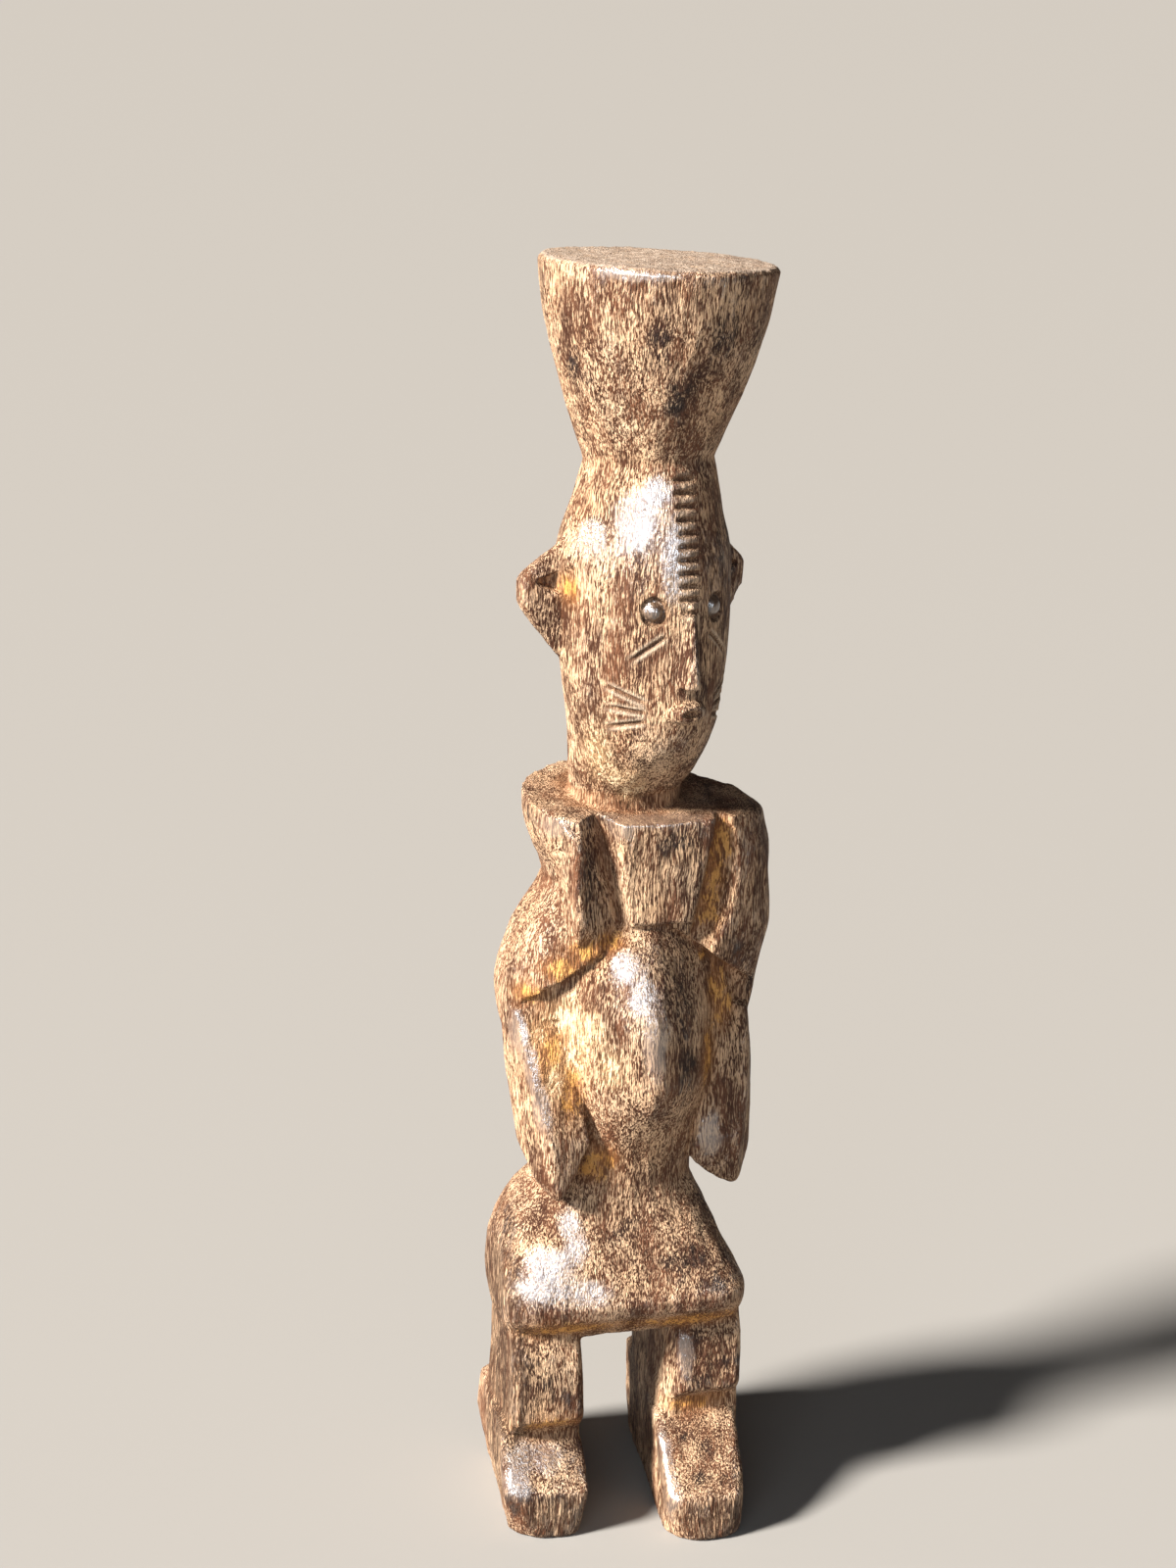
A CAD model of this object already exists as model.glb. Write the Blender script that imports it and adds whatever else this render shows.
import math

import bmesh
import bpy
import numpy as np
from mathutils import Matrix, Vector, noise
from mathutils.bvhtree import BVHTree


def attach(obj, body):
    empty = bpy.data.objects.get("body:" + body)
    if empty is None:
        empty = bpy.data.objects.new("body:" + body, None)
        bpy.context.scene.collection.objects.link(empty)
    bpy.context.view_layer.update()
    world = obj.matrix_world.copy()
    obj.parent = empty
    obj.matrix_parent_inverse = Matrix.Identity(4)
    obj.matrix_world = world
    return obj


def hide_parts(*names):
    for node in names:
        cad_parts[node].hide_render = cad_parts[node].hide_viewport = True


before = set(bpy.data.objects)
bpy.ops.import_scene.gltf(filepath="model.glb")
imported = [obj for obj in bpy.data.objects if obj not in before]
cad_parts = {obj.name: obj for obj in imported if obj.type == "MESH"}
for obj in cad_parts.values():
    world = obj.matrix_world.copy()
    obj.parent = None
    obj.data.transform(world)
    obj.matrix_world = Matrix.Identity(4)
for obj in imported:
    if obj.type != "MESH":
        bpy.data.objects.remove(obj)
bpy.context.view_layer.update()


# The carving: the whole figure is one length of open-pored hardwood log, cut with an adze and a knife.
# Long handling has rounded its edges and polished its high spots, and dirt has settled in the cuts.
# Nothing is fixed to it, so one skin stands for the whole solid.
MM = 0.001
SKIN_STEP = 0.42 * MM
SKIN_FACES = 194000

source = bmesh.new()
source.from_mesh(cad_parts["figure"].data)
bmesh.ops.remove_doubles(source, verts=source.verts, dist=1e-6)
carving_mesh = bpy.data.meshes.new("carving")
source.to_mesh(carving_mesh)
source.free()
carving = bpy.data.objects.new("carving", carving_mesh)
bpy.context.scene.collection.objects.link(carving)


def worked(kind, **settings):
    """Puts one modifier on the carving and keeps its result as the carving's mesh."""
    global carving_mesh
    tool = carving.modifiers.new(kind.lower(), kind)
    for name, value in settings.items():
        setattr(tool, name, value)
    bpy.context.view_layer.update()
    depsgraph = bpy.context.evaluated_depsgraph_get()
    result = bpy.data.meshes.new_from_object(carving.evaluated_get(depsgraph))
    carving.modifiers.clear()
    carving.data = result
    bpy.data.meshes.remove(carving_mesh)
    result.name = "carving"
    carving_mesh = result


def measured():
    """Reads the points of the skin, in millimetres, and which points are neighbours."""
    global count, near, far, neighbours
    count = len(carving_mesh.vertices)
    flat = np.empty(count * 3, np.float32)
    carving_mesh.vertices.foreach_get("co", flat)
    ends = np.empty(len(carving_mesh.edges) * 2, np.int32)
    carving_mesh.edges.foreach_get("vertices", ends)
    ends = ends.reshape(-1, 2)
    near = np.concatenate([ends[:, 0], ends[:, 1]])
    far = np.concatenate([ends[:, 1], ends[:, 0]])
    neighbours = np.maximum(np.bincount(near, minlength=count), 1)
    return flat.reshape(-1, 3).astype(float) / MM


def around(values):
    """The average of each point's neighbours on the skin."""
    columns = values.reshape(count, -1)
    sums = [np.bincount(near, columns[far, k], minlength=count) for k in range(columns.shape[1])]
    return (np.stack(sums, 1) / neighbours[:, None]).reshape(values.shape)


def rubbed(values, passes, share=0.5):
    for _ in range(passes):
        values = values + share * (around(values) - values)
    return values


def facing(points):
    """Moves the skin to these points, and gives its outward direction at each of them."""
    carving_mesh.vertices.foreach_set("co", (points * MM).astype(np.float32).ravel())
    carving_mesh.update()
    out = np.empty(count * 3, np.float32)
    carving_mesh.vertex_normals.foreach_get("vector", out)
    return out.reshape(-1, 3).astype(float)


def between(low, high, values):
    t = np.clip((values - low) / (high - low), 0, 1)
    return t * t * (3 - 2 * t)


def marks(points, scale, seed):
    scaled = points * np.asarray(scale) + seed
    return np.array([noise.noise(Vector(p)) for p in scaled])


def spots(places_and_reach):
    """One at the middle of each spot, falling off over its reach across, along and up, in millimetres."""
    total = np.zeros(count)
    for centre, reach in places_and_reach:
        away = (places - np.array(centre)) / np.array(reach)
        total = np.maximum(total, np.exp(-(away ** 2).sum(1)))
    return total


# The face is turned to the figure's left. Its ornament is drawn on the skin unrolled about its own
# axis: degrees from straight ahead, and millimetres up.
FACE_TURN = math.radians(11)
FACE_AXIS = (-0.07, -3.17)
FACE_REACH = 20
CHEEK_CUTS = [((26, 205.3), (60, 209.3)), ((26, 203.3), (60, 203.9)), ((26, 201.3), (60, 198.7)),
              ((15, 221), (42, 214))]
NOTCHES = [254.4 - 2.85 * i for i in range(11)]
EYES = (23.6, 226)


def unrolled():
    """Arc length from the middle of the face, height, and whether the point is on the head's front."""
    x = places[:, 0] - FACE_AXIS[0]
    y = places[:, 1] - FACE_AXIS[1]
    left = x * math.cos(FACE_TURN) + y * math.sin(FACE_TURN)
    behind = y * math.cos(FACE_TURN) - x * math.sin(FACE_TURN)
    arc = np.arctan2(left, -behind) * FACE_REACH
    return arc, places[:, 2], (behind < 0) & (places[:, 2] > 190) & (places[:, 2] < 258)


def cheek_cuts(width, offset=0.0):
    """Straight cuts that run out shallow at both ends; with an offset, their raised lips."""
    arc, level, front = unrolled()
    deepest = np.zeros(count)
    for (from_angle, from_z), (to_angle, to_z) in CHEEK_CUTS:
        start = np.array([math.radians(from_angle) * FACE_REACH, from_z])
        run = np.array([math.radians(to_angle) * FACE_REACH, to_z]) - start
        step = np.stack([np.abs(arc), level], 1) - start
        share = np.clip(step @ run / (run @ run), 0, 1)
        away = np.linalg.norm(step - share[:, None] * run, axis=1)
        taper = between(0, 0.1, share) * (1 - between(0.6, 1, share))
        deepest = np.maximum(deepest, np.exp(-((away - offset) / width) ** 2) * taper)
    return deepest * front


def forehead_notches(width, offset=0.0):
    arc, level, front = unrolled()
    deepest = np.zeros(count)
    for index, notch in enumerate(NOTCHES):
        half = 2.3 + 0.5 * math.sin(3.1 * index)
        within = 1 - between(half - 0.5, half + 0.4, np.abs(arc))
        deepest = np.maximum(deepest, np.exp(-((np.abs(level - notch) - offset) / width) ** 2) * within)
    return deepest * front


def eyes(radius):
    arc, level, front = unrolled()
    away = np.hypot(np.abs(arc) - math.radians(EYES[0]) * FACE_REACH, level - EYES[1])
    return (1 - between(radius - 0.4, radius + 0.4, away)) * front


# Wear: broad faces are rubbed smooth, cuts and edges keep most of their line, and the corners that
# hands and shelves have met are worn round.
worked("REMESH", mode="VOXEL", voxel_size=SKIN_STEP)
places = measured()
outward = facing(places)
crispness = rubbed(1 - np.linalg.norm(rubbed(outward, 5, 0.7), axis=1), 2)
soft = 1 - between(0.003, 0.011, crispness)
worn = spots([
    ((26.5, -7, 80), (4, 6, 5)),
    ((14.5, -9, 88.5), (3, 4, 4)),
    ((-20.5, -15, 84.5), (3, 4, 4)),
    ((25, -19, 59), (4, 5, 4)),
    ((-31, -17, 58), (4, 5, 4)),
    ((-30.5, -19, 9), (4, 4, 7)),
    ((5.5, -30, 9), (4, 5, 7)),
    ((22.5, -31, 9), (4, 4, 7)),
    ((-31.5, -3, 228), (3, 5, 5)),
    ((28, -8, 175), (4, 7, 4)),
    ((-27, -19.5, 2), (6, 5, 3)),
    ((-14.5, -21, 3), (4, 4, 4)),
    ((8, -30.5, 2), (5, 5, 3)),
    ((20, -31.5, 2), (6, 4, 3)),
])
places = rubbed(places, 2)
for _ in range(24):
    places += 0.6 * soft[:, None] * (around(places) - places)
for _ in range(30):
    places += 0.6 * worn[:, None] * (around(places) - places)

# Tool marks, weathered grain and chipped edges stand in low relief on the skin, in millimetres.
outward = facing(places)
face = between(196, 202, places[:, 2]) * (1 - between(250, 256, places[:, 2]))
face *= between(4, 12, -places[:, 1])
edge = between(0.12, 0.5, ((places - rubbed(places, 14, 0.9)) * outward).sum(1))
relief = 0.36 * marks(places, (0.085, 0.085, 0.05), 3.7)
relief += 0.2 * marks(places, (0.24, 0.24, 0.13), 11.3)
relief += 0.16 * marks(places, (0.62, 0.62, 0.07), 23.9)
relief *= 1 - 0.6 * face
relief -= 0.55 * edge * between(0.05, 0.35, marks(places, (0.28, 0.28, 0.22), 51.3)) * (1 - face)
relief -= 0.42 * cheek_cuts(0.42) - 0.1 * cheek_cuts(0.35, 0.85)
relief -= 0.2 * forehead_notches(0.5)
relief += 0.7 * spots([((14.2, -11, 141.5), (1.1, 4, 1))])
places += outward * relief[:, None]
places[:, 2] = np.maximum(places[:, 2], 0)
facing(places)
worked("DECIMATE", ratio=SKIN_FACES / (2 * len(carving_mesh.polygons)))
places = measured()

# Shape masks: how far each point stands proud of the form around it, and how closed-in it is, which
# is the share of short feelers, fanned about the outward direction, that meet the skin again.
FEELER_REACH = 16
FEELER_START = 0.5
FEELER_TILTS = (0.45, 1.05)
FEELER_TURNS = 5
outward = facing(places)
form = rubbed(places, 60, 0.9)
proud = ((places - form) * outward).sum(1)
facets = [tuple(polygon.vertices) for polygon in carving_mesh.polygons]
skin_tree = BVHTree.FromPolygons([Vector(p) for p in places], facets)
feelers = [Vector((math.cos(a) * math.sin(b), math.sin(a) * math.sin(b), math.cos(b)))
           for b in FEELER_TILTS for a in np.arange(FEELER_TURNS) * 2 * math.pi / FEELER_TURNS + b]
shut = np.zeros(count)
for index in range(count):
    normal = Vector(outward[index])
    turn = normal.to_track_quat("Z", "Y")
    start = Vector(places[index]) + normal * FEELER_START
    blocked = sum(skin_tree.ray_cast(start, turn @ ray, FEELER_REACH)[0] is not None for ray in feelers)
    shut[index] = blocked / len(feelers)
shut = rubbed(shut, 6, 0.8)

# Where each finish lies: the middle of every spot and its reach, in millimetres.
polished = spots([
    ((-8, -18, 246), (6, 6, 7)),
    ((-3.5, -19.5, 252), (3.5, 4, 4)),
    ((0.3, -22.4, 238), (2.5, 4, 9)),
    ((-16, -12, 242), (4, 4, 4)),
    ((-12, -24, 299.4), (9, 5, 1.3)),
    ((-21.5, -10, 174.2), (3.5, 4, 2)),
    ((-8.4, -14.8, 174.8), (3, 4, 1.8)),
    ((0, -14, 176), (9, 5, 0.9)),
    ((-3.2, -20.4, 136.2), (3.4, 4, 4.5)),
    ((-0.8, -23.4, 126), (2.4, 4, 8)),
    ((-6.9, -17, 142), (3.5, 4, 4)),
    ((-28.8, -7.2, 124), (2.2, 4, 5)),
    ((-26.4, -11, 116.6), (1.8, 3, 6)),
    ((-24.5, -13.2, 107.5), (2.2, 3.5, 5)),
    ((18, -11, 97), (2.5, 5, 5)),
    ((-16.5, -12, 77), (3, 4, 5)),
    ((-15.5, -14, 72), (3.5, 4, 5)),
    ((-21, -14.5, 68), (6, 5, 5)),
    ((-22, -16, 63.5), (8, 5, 3)),
    ((-13.3, -18, 62.5), (5, 5, 3)),
    ((12, -16.5, 42), (1.8, 3, 5)),
    ((-27.4, -15.4, 19.7), (4, 4, 4)),
    ((-30, -18, 15.5), (3, 4, 3.5)),
    ((-22.5, -16, 19), (5, 4, 4)),
    ((5, -21.5, 17.5), (2, 6, 5)),
    ((4.8, -27, 12.5), (2, 4, 5)),
])
ochre = spots([
    ((-26.8, -8.8, 134.5), (4, 5, 2.8)),
    ((-20.4, -12.7, 141), (4.5, 5, 3)),
    ((-14.8, -14.3, 145.8), (4.5, 5, 3)),
    ((-10, -13.7, 147.5), (4, 5, 2.5)),
    ((17.3, -12.3, 170), (2.6, 4, 6)),
    ((16, -11.7, 161), (2.4, 4, 7)),
    ((14.7, -12, 153), (2.6, 4, 5)),
    ((18.5, -9.3, 132), (3.5, 5, 6)),
    ((20, -8.9, 127), (3.5, 5, 5)),
    ((16.2, -11.9, 117), (2.6, 4, 8)),
    ((-22, -10.5, 120), (5, 5, 8)),
    ((-17.5, -11, 112), (3.5, 5, 8)),
    ((-11.2, -10, 89.9), (4, 5, 3)),
    ((-8.4, -11.3, 93), (3, 4, 3)),
    ((-22, -15, 27.5), (9, 6, 1.8)),
    ((14, -16, 28.5), (8, 6, 2)),
    ((-18, -16.5, 52.5), (14, 5, 2.6)),
    ((12, -17, 51.8), (14, 5, 2.6)),
    ((-19, -8, 229), (2.5, 4, 3)),
    ((14.2, -11, 141.5), (1.3, 4, 1.2)),
])
pale = spots([
    ((-18.6, -10.8, 128.5), (5, 5, 4)),
    ((-14.5, -15, 126.6), (3.5, 4, 4)),
    ((-16.5, -12.2, 121), (3.5, 4, 5)),
    ((-9.9, -18.2, 118), (2.5, 4, 4)),
    ((-25, -9.2, 124.4), (2.5, 4, 3)),
    ((-21, -12, 114), (2.5, 4, 4)),
    ((-12.7, -11.3, 191), (3, 4, 7)),
    ((-8, -13, 186), (4, 4, 2.5)),
    ((-4.9, -12.8, 182.5), (3, 4, 3)),
])
sooty = spots([
    ((-11.7, -10, 175.8), (4, 4, 1.6)),
    ((-17.9, -9.1, 177), (4, 4, 1.5)),
    ((-15.3, -14, 163), (3.5, 5, 10)),
    ((-26, -2, 176), (4, 6, 4)),
    ((4.6, -16.5, 172), (6, 5, 5)),
    ((22, -13.2, 141.8), (3, 5, 5)),
    ((26.8, -6, 131.4), (3, 5, 4)),
    ((7, -17, 132), (3, 6, 18)),
    ((8, -18, 116), (4, 6, 12)),
    ((-23, -11.7, 114.8), (1.8, 4, 5)),
    ((-20, -13.1, 107.8), (2, 4, 3)),
    ((-4, -14.3, 76.5), (5, 5, 4)),
    ((8, -18, 67), (9, 6, 5)),
    ((17.9, -20.8, 62.2), (6, 5, 3.5)),
    ((-28.6, -3, 75), (3, 7, 4)),
    ((-29.3, -10, 68), (3, 5, 5)),
    ((-27, -15, 44), (4, 5, 4)),
    ((-24, -15.4, 39), (4, 4, 3)),
    ((-20, -16, 35), (6, 5, 2.5)),
    ((13, -16.5, 44), (5, 5, 4)),
    ((20, -17.2, 39), (5, 5, 3.5)),
    ((15, -17.7, 35), (5, 4, 2)),
    ((-16.7, -16, 19), (2.5, 5, 4)),
    ((-28.7, -20.3, 12.2), (4, 4, 3)),
    ((-31.5, -18.9, 9), (3, 4, 4)),
    ((-24, -21, 10.3), (5, 4, 2)),
    ((5, -28.8, 9), (2, 4, 3)),
    ((15.9, -22.1, 19.6), (3, 4, 3)),
    ((18.8, -28.4, 13.9), (3, 4, 3)),
    ((11.7, -19.6, 21.4), (2.5, 4, 2)),
    ((12.5, -27.3, 14.3), (4, 5, 2.5)),
    ((-6.8, -24.9, 284), (4, 5, 9)),
    ((0.2, -23.2, 274), (4, 5, 6)),
    ((8.2, -25.5, 287), (5, 6, 7)),
    ((-20.2, -10.2, 278), (3, 6, 6)),
    ((16, 8, 285), (12, 16, 20)),
    ((15, -6, 235), (8, 14, 18)),
    ((4, 22, 120), (20, 8, 40)),
])


# A power below one widens each soot spot, so that its patch ends softly.
SOOT_FALLOFF = 0.6


def keep(name, values):
    layer = carving_mesh.attributes.new(name, "FLOAT", "POINT")
    layer.data.foreach_set("value", np.clip(values, 0, 1).astype(np.float32))


keep("proud", 0.5 + proud * 0.5)
keep("shut", shut)
keep("polished", polished)
keep("ochre", ochre)
keep("pale", pale)
keep("sooty", sooty ** SOOT_FALLOFF)
keep("scored", np.maximum(cheek_cuts(0.4), 0.8 * forehead_notches(0.5)))
keep("lips", np.maximum(cheek_cuts(0.35, 0.8), 0.5 * forehead_notches(0.4, 1.1)))
keep("lapped", spots([
    ((-19, -18.5, 56.4), (17, 7, 2)),
    ((11, -20.5, 57.4), (19, 7, 2)),
]))
keep("crown", between(0.6, 0.9, outward[:, 2]) * (places[:, 2] > 290))
keep("pellets", eyes(2.3))
keep("sockets", eyes(3.5))
keep("grain", spots([
    ((-31, -2, 38), (5, 24, 34)),
    ((-21, -23, 4), (14, 3.5, 8)),
    ((14, -33, 4), (14, 3.5, 8)),
]))
for polygon in carving_mesh.polygons:
    polygon.use_smooth = True

wood = bpy.data.materials.new("aged_hardwood")
wood.use_nodes = True
tree_nodes = wood.node_tree
tree_nodes.nodes.clear()
surface = tree_nodes.nodes.new("ShaderNodeOutputMaterial")
finish = tree_nodes.nodes.new("ShaderNodeBsdfPrincipled")
tree_nodes.links.new(finish.outputs[0], surface.inputs[0])


def plug(socket, value):
    if hasattr(value, "links"):
        tree_nodes.links.new(value, socket)
    else:
        socket.default_value = value


def maths(operation, first, second=0.0):
    node = tree_nodes.nodes.new("ShaderNodeMath")
    node.operation = operation
    plug(node.inputs[0], first)
    plug(node.inputs[1], second)
    return node.outputs[0]


def ramp(value, low, high, start=0.0, end=1.0):
    node = tree_nodes.nodes.new("ShaderNodeMapRange")
    node.interpolation_type = "SMOOTHSTEP"
    plug(node.inputs["Value"], value)
    node.inputs["From Min"].default_value = low
    node.inputs["From Max"].default_value = high
    node.inputs["To Min"].default_value = start
    node.inputs["To Max"].default_value = end
    return node.outputs[0]


def tinted(share, under, over):
    node = tree_nodes.nodes.new("ShaderNodeMix")
    node.data_type = "RGBA"
    plug(node.inputs["Factor"], share)
    plug(node.inputs["A"], under if hasattr(under, "links") else (*under, 1))
    plug(node.inputs["B"], over if hasattr(over, "links") else (*over, 1))
    return node.outputs["Result"]


def mask(name):
    node = tree_nodes.nodes.new("ShaderNodeAttribute")
    node.attribute_name = name
    return node.outputs["Fac"]


place = tree_nodes.nodes.new("ShaderNodeTexCoord").outputs["Object"]

# The grain wanders a little as it runs up the log.
wander = tree_nodes.nodes.new("ShaderNodeTexNoise")
wander.inputs["Scale"].default_value = 120.0
wander.inputs["Detail"].default_value = 1.0
plug(wander.inputs["Vector"], place)
drift = tree_nodes.nodes.new("ShaderNodeVectorMath")
drift.operation = "MULTIPLY_ADD"
tree_nodes.links.new(wander.outputs["Color"], drift.inputs[0])
drift.inputs[1].default_value = (0.0016, 0.0016, 0.0)
tree_nodes.links.new(place, drift.inputs[2])
wavy = drift.outputs[0]


def streaks(across, along, detail=2.0, rough=0.5, shift=0.0):
    """Noise drawn out up the log: across and along are the sizes of one streak, in millimetres."""
    stretch = tree_nodes.nodes.new("ShaderNodeMapping")
    stretch.inputs["Scale"].default_value = (1000 / across, 1000 / across, 1000 / along)
    stretch.inputs["Location"].default_value = (shift, shift * 0.7, shift * 1.3)
    plug(stretch.inputs["Vector"], wavy)
    pattern = tree_nodes.nodes.new("ShaderNodeTexNoise")
    pattern.inputs["Scale"].default_value = 1.0
    pattern.inputs["Detail"].default_value = detail
    pattern.inputs["Roughness"].default_value = rough
    tree_nodes.links.new(stretch.outputs[0], pattern.inputs["Vector"])
    return pattern.outputs["Fac"]


pores = streaks(0.38, 3.4, detail=2.0, rough=0.55)
fine_pores = streaks(0.25, 1.8, detail=1.0, shift=7.0)
lines = streaks(0.95, 9.0, detail=1.5, shift=11.0)
bands = streaks(5.0, 60.0, detail=3.0, shift=3.0)
crust = streaks(2.2, 4.0, detail=5.0, rough=0.68, shift=13.0)
clouds = streaks(11.0, 16.0, detail=4.0, rough=0.6, shift=19.0)
dusting = streaks(8.0, 14.0, detail=4.0, rough=0.6, shift=31.0)
pebbles = streaks(0.8, 1.1, detail=1.5, shift=29.0)
split_grain = streaks(0.5, 24.0, detail=3.0, rough=0.6, shift=41.0)


def near_middle(pattern, width):
    """Thin lines where a pattern passes through its middle value."""
    away = maths("ABSOLUTE", maths("SUBTRACT", pattern, 0.5))
    return ramp(away, 0.0, width, 1.0, 0.0)


# Pale dust fills the open pores. Where the wood is dusty it is tan with thin dark lines, and
# elsewhere it is dark red-brown with thin pale ones. Soot lies in ragged patches and shuts some pores.
pore_mix = maths("ADD", maths("MULTIPLY", pores, 0.65), maths("MULTIPLY", fine_pores, 0.35))
patchy = maths("ADD", maths("MULTIPLY", dusting, 0.65), maths("MULTIPLY", crust, 0.35))
soot = maths("ADD", ramp(clouds, 0.52, 0.72, 0.0, 0.36), maths("MULTIPLY", mask("sooty"), 0.6))
soot = ramp(maths("ADD", soot, maths("MULTIPLY", crust, 1.3)), 0.95, 1.45, 0.0, 0.9)
open_pore = maths("ADD", pore_mix, maths("MULTIPLY", maths("SUBTRACT", patchy, 0.49), 0.55))
open_pore = ramp(maths("SUBTRACT", open_pore, maths("MULTIPLY", soot, 0.09)), 0.46, 0.55)
colour = tinted(ramp(bands, 0.35, 0.65), (0.05, 0.018, 0.008), (0.14, 0.058, 0.028))
fill = tinted(clouds, (0.54, 0.31, 0.16), (0.68, 0.5, 0.34))
colour = tinted(maths("MULTIPLY", open_pore, ramp(patchy, 0.36, 0.58, 0.5, 1.0)), colour, fill)
colour = tinted(maths("MULTIPLY", near_middle(lines, 0.06), 0.7), colour, (0.05, 0.017, 0.007))

# The soot is a dark crusted patina, and the open pores still show through it. The front edges of
# the lap are dark red-brown.
black = maths("MULTIPLY", soot, ramp(open_pore, 0.0, 1.0, 0.95, 0.4))
colour = tinted(black, colour, (0.018, 0.012, 0.0095))
lip = maths("MULTIPLY", mask("lapped"), ramp(open_pore, 0.0, 1.0, 0.95, 0.6))
colour = tinted(lip, colour, (0.085, 0.03, 0.014))

# Ochre and orange-brown dirt settles where the form closes in: a thin wash that lets the pores
# show, with brighter strings of crust on it along the grain.
settled = maths("ADD", mask("shut"), ramp(mask("proud"), 0.5, 0.2, 0.0, 0.5))
settled = ramp(maths("ADD", settled, maths("MULTIPLY", patchy, 1.1)), 0.85, 1.5, 0.0, 0.5)
settled = maths("MULTIPLY", settled, ramp(pore_mix, 0.4, 0.6, 0.5, 1.0))
colour = tinted(settled, colour, (0.27, 0.115, 0.045))
strings = maths("ADD", maths("MULTIPLY", crust, 0.65), maths("MULTIPLY", pore_mix, 0.55))


def washed(name, under, wash, flakes):
    share = maths("MULTIPLY", mask(name), ramp(pore_mix, 0.38, 0.6, 0.3, 0.8))
    thin = tinted(share, under, wash)
    flaked = ramp(maths("ADD", strings, maths("MULTIPLY", mask(name), 0.15)), 0.69, 0.77, 0.0, 0.9)
    flaked = maths("MULTIPLY", flaked, ramp(mask(name), 0.12, 0.45))
    return tinted(flaked, thin, flakes)


colour = washed("ochre", colour, (0.42, 0.17, 0.045), tinted(clouds, (0.56, 0.23, 0.04), (0.72, 0.42, 0.14)))
colour = washed("pale", colour, (0.56, 0.35, 0.18), (0.76, 0.56, 0.35))

# The end grain on top of the coiffure is pale and crazed.
crown = maths("MULTIPLY", mask("crown"), ramp(crust, 0.36, 0.56, 0.35, 0.95))
colour = tinted(crown, colour, (0.47, 0.37, 0.29))
crazed = maths("MULTIPLY", near_middle(crust, 0.03), mask("crown"))
colour = tinted(maths("MULTIPLY", crazed, 0.7), colour, (0.09, 0.05, 0.035))

# Split grain runs down the outer side of the right leg and over the toe fronts.
split = maths("MULTIPLY", ramp(mask("grain"), 0.15, 0.6), ramp(split_grain, 0.4, 0.6, 0.9, 0.0))
colour = tinted(split, colour, (0.06, 0.03, 0.016))

# Knife cuts are dark at the root with pale worn lips, and the eye pellets are dark in dark sockets.
colour = tinted(maths("MULTIPLY", mask("lips"), 0.6), colour, (0.62, 0.49, 0.36))
colour = tinted(maths("MULTIPLY", mask("scored"), 0.75), colour, (0.12, 0.06, 0.03))
colour = tinted(maths("MULTIPLY", mask("sockets"), 0.55), colour, (0.05, 0.026, 0.014))
colour = tinted(maths("MULTIPLY", mask("pellets"), 0.6), colour, (0.035, 0.02, 0.014))

# High spots are rubbed: the dust is gone there, and the wood has a cool waxy shine.
rub = maths("ADD", maths("MULTIPLY", mask("polished"), 0.95), ramp(mask("proud"), 0.55, 0.9, 0.0, 0.3))
rub = ramp(maths("ADD", rub, maths("MULTIPLY", strings, 1.2)), 0.9, 1.6)
colour = tinted(maths("MULTIPLY", rub, 0.5), colour, (0.17, 0.115, 0.085))
rub = maths("MAXIMUM", rub, mask("pellets"))

plug(finish.inputs["Base Color"], colour)
plug(finish.inputs["Roughness"], ramp(rub, 0.0, 1.0, 0.68, 0.3))
plug(finish.inputs["Specular IOR Level"], ramp(rub, 0.0, 1.0, 0.14, 0.7))
plug(finish.inputs["Coat Weight"], maths("MULTIPLY", rub, 0.9))
finish.inputs["Coat Roughness"].default_value = 0.24
finish.inputs["Coat IOR"].default_value = 1.8

height = maths("ADD", maths("MULTIPLY", pore_mix, -1.1), maths("MULTIPLY", crust, 0.8))
height = maths("ADD", height, maths("MULTIPLY", pebbles, 0.6))
height = maths("SUBTRACT", height, maths("MULTIPLY", near_middle(lines, 0.055), 0.12))
height = maths("SUBTRACT", height, maths("MULTIPLY", split, 0.9))
relief_node = tree_nodes.nodes.new("ShaderNodeBump")
plug(relief_node.inputs["Strength"], ramp(rub, 0.0, 1.0, 0.9, 0.3))
relief_node.inputs["Distance"].default_value = 0.0008
tree_nodes.links.new(height, relief_node.inputs["Height"])
tree_nodes.links.new(relief_node.outputs[0], finish.inputs["Normal"])
tree_nodes.links.new(relief_node.outputs[0], finish.inputs["Coat Normal"])

carving_mesh.materials.clear()
carving_mesh.materials.append(wood)
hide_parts("figure")
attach(carving, "root")


# The floor: a plain pale ground that runs far behind the figure.
floor_mesh = bpy.data.meshes.new("floor")
floor_mesh.from_pydata([(-30, -30, 0), (30, -30, 0), (30, 30, 0), (-30, 30, 0)], [], [(0, 1, 2, 3)])
floor = bpy.data.objects.new("floor", floor_mesh)
bpy.context.scene.collection.objects.link(floor)
plaster = bpy.data.materials.new("pale_floor")
plaster.use_nodes = True
plaster.node_tree.nodes["Principled BSDF"].inputs["Base Color"].default_value = (0.28, 0.27, 0.255, 1)
plaster.node_tree.nodes["Principled BSDF"].inputs["Roughness"].default_value = 0.8
floor_mesh.materials.append(plaster)

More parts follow.
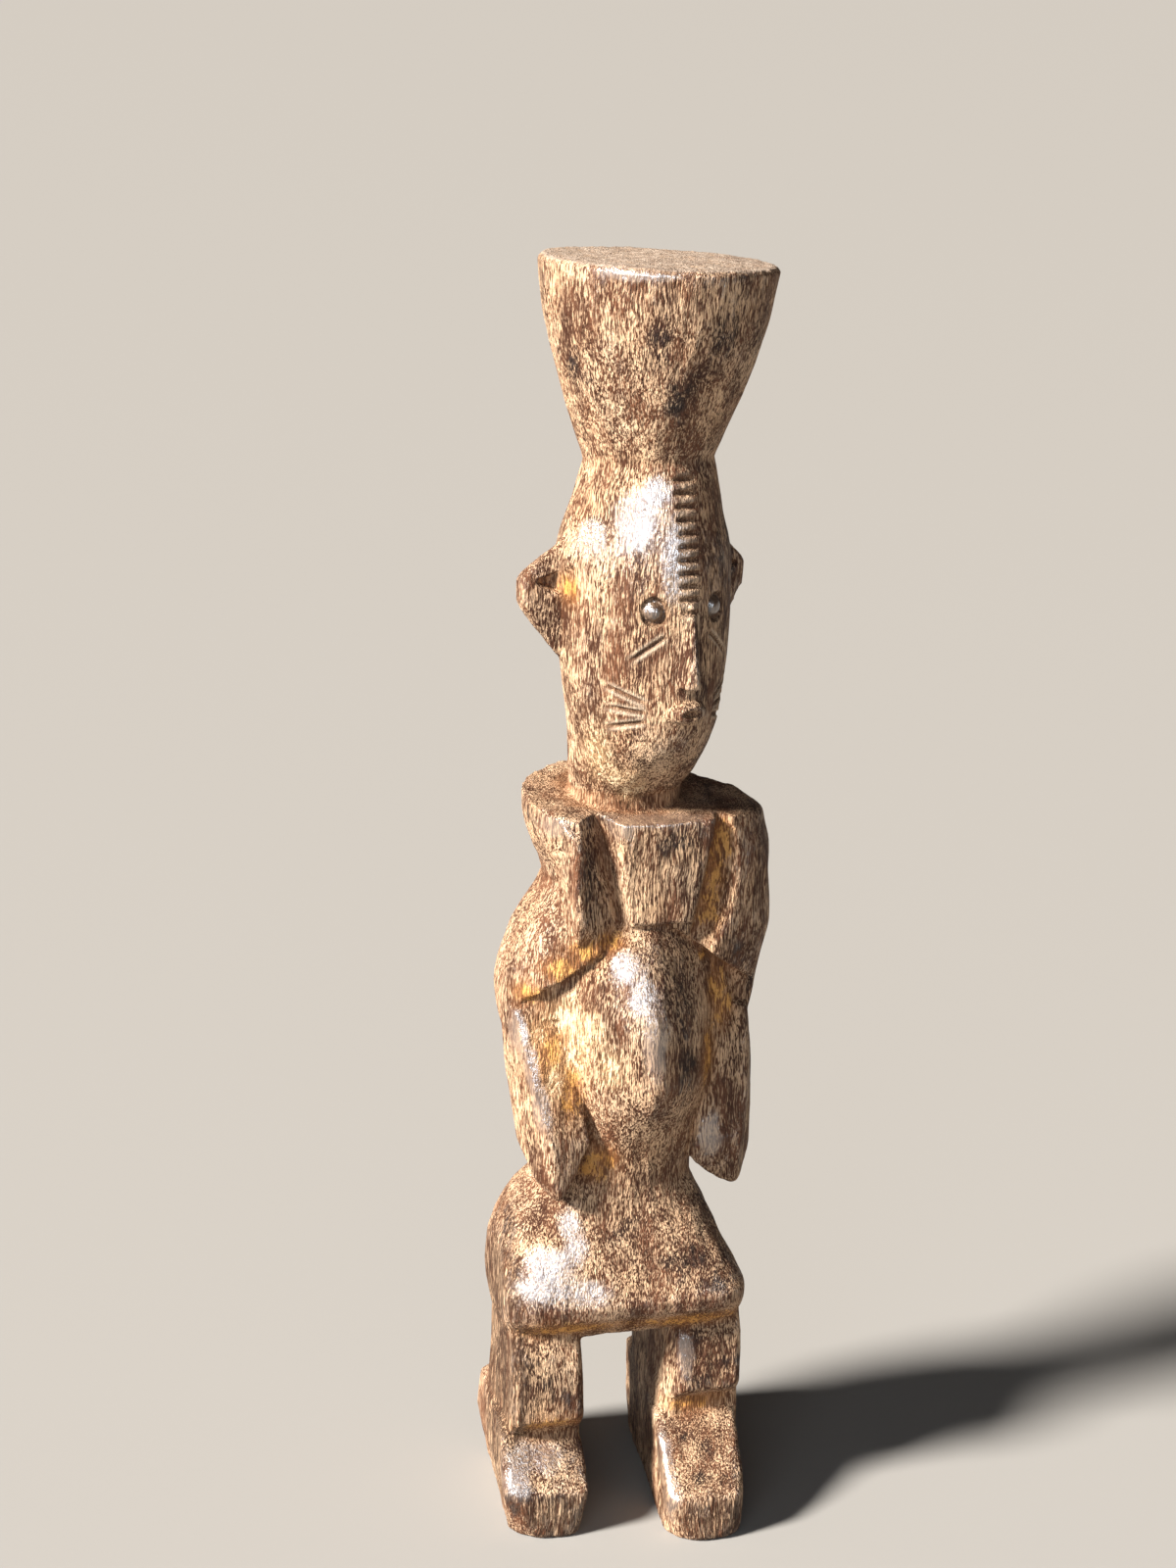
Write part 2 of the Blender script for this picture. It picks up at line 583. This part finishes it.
# The light: a warm key from the left, a weak cool front light, a dim room, and two panels in front
# that show only as reflections, most of all in the polished wood.
room = bpy.data.worlds.new("room")
bpy.context.scene.world = room
room.use_nodes = True
room.node_tree.nodes["Background"].inputs["Color"].default_value = (1.0, 0.78, 0.64, 1)
room.node_tree.nodes["Background"].inputs["Strength"].default_value = 0.05


def lamp(name, kind, stand, aim, power, tint):
    data = bpy.data.lights.new(name, kind)
    data.energy = power
    data.color = tint
    light = bpy.data.objects.new(name, data)
    light.location = stand
    light.rotation_euler = (Vector(aim) - Vector(stand)).to_track_quat("-Z", "Y").to_euler()
    bpy.context.scene.collection.objects.link(light)
    return light


key = lamp("key", "SUN", (-1.15, -0.22, 0.9), (0, 0, 0.15), 13.5, (1.0, 0.95, 0.89))
key.data.angle = math.radians(12)
front = lamp("front", "AREA", (-0.55, -1.0, 0.5), (0, 0, 0.15), 3.2, (0.82, 0.91, 1.0))
front.data.size = 0.6
window = lamp("window", "AREA", (-0.22, -1.12, 0.48), (0, 0, 0.15), 12, (0.78, 0.89, 1.0))
window.data.size = 0.42
window.visible_diffuse = False
side_window = lamp("side_window", "AREA", (-0.85, -0.85, 0.36), (0, 0, 0.2), 8, (0.8, 0.9, 1.0))
side_window.data.size = 0.36
side_window.visible_diffuse = False

bpy.context.scene.view_settings.view_transform = "Standard"

# The camera: about 76 mm above the top of the coiffure, looking down at the figure from its right front.
eye = Vector((-0.20889, -0.60853, 0.37664))
sight = Vector((0.29551, 0.9095, -0.29237)).normalized()
side = sight.cross(Vector((0, 0, 1))).normalized()
up = side.cross(sight)
roll = math.radians(1.5)
across = side * math.cos(roll) + up * math.sin(roll)
upward = up * math.cos(roll) - side * math.sin(roll)
camera_data = bpy.data.cameras.new("camera")
camera_data.sensor_fit = "VERTICAL"
camera_data.sensor_height = 36
camera_data.lens = 67.5
camera = bpy.data.objects.new("camera", camera_data)
turned = Matrix((across, upward, -sight)).transposed().to_4x4()
camera.matrix_world = Matrix.Translation(eye) @ turned
bpy.context.scene.collection.objects.link(camera)
bpy.context.scene.camera = camera
